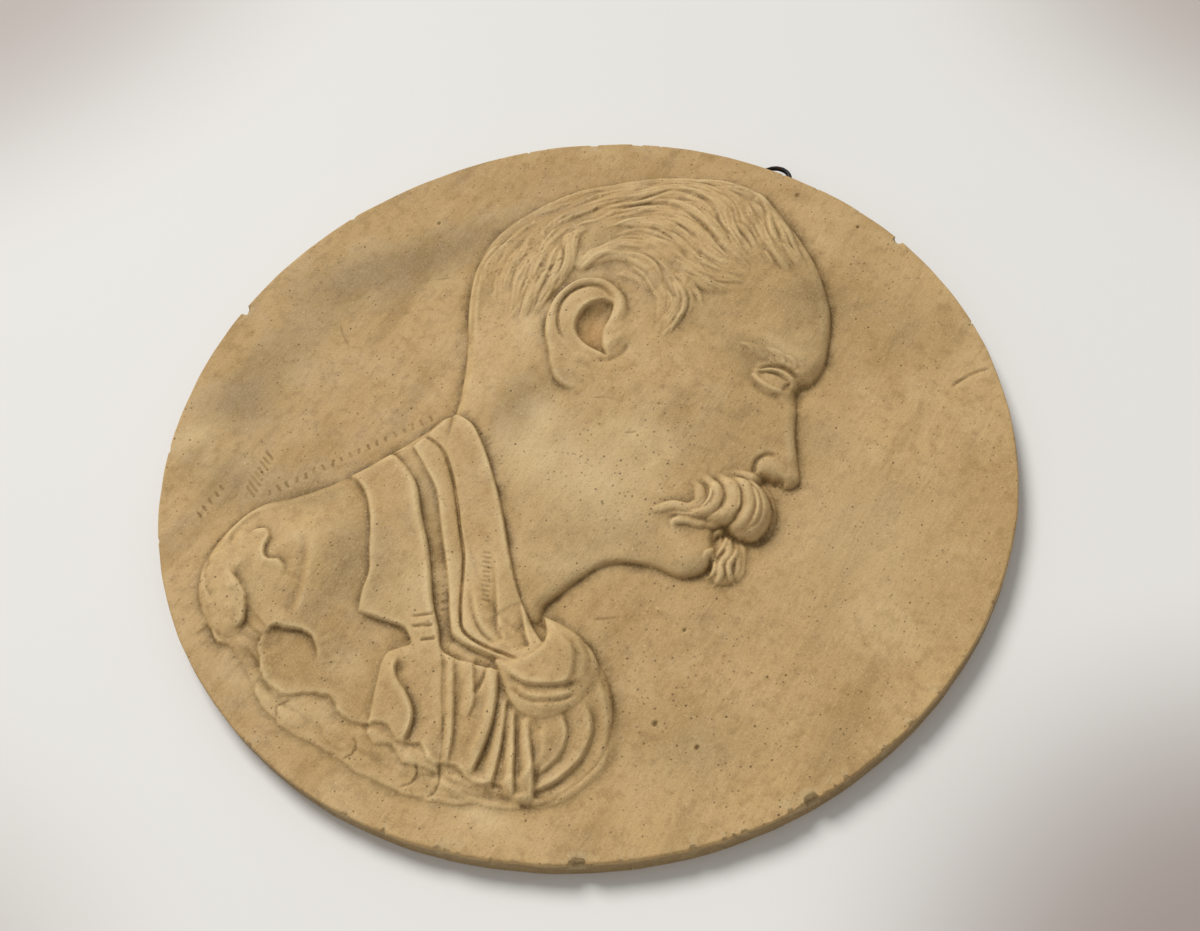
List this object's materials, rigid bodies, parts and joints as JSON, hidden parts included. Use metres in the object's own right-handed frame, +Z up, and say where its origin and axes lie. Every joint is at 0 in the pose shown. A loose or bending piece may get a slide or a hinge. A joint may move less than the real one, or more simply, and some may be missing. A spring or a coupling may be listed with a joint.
{
  "type": "plaster relief medallion",
  "caption": "Round plaster plate with a bust in profile carved in relief, a flat back, and an iron ring at the top to hang it by.",
  "frame": {"origin": "centre of the flat back, on the plane of the wall", "axes": "+Z up towards the hanging ring, +Y into the wall, +X to the right as seen from the front, where the profile looks"},
  "size_m": [0.4305, 0.0305, 0.439],
  "materials": {
    "plaster": "matt cast plaster with a brown-yellow patina, darker in the hollows and rubbed pale on the edges",
    "black_iron": "dull black wrought wire"
  },
  "bodies": {
    "root": {"medallion": "plaster", "hanging_ring": "black_iron"}
  },
  "joints": []
}
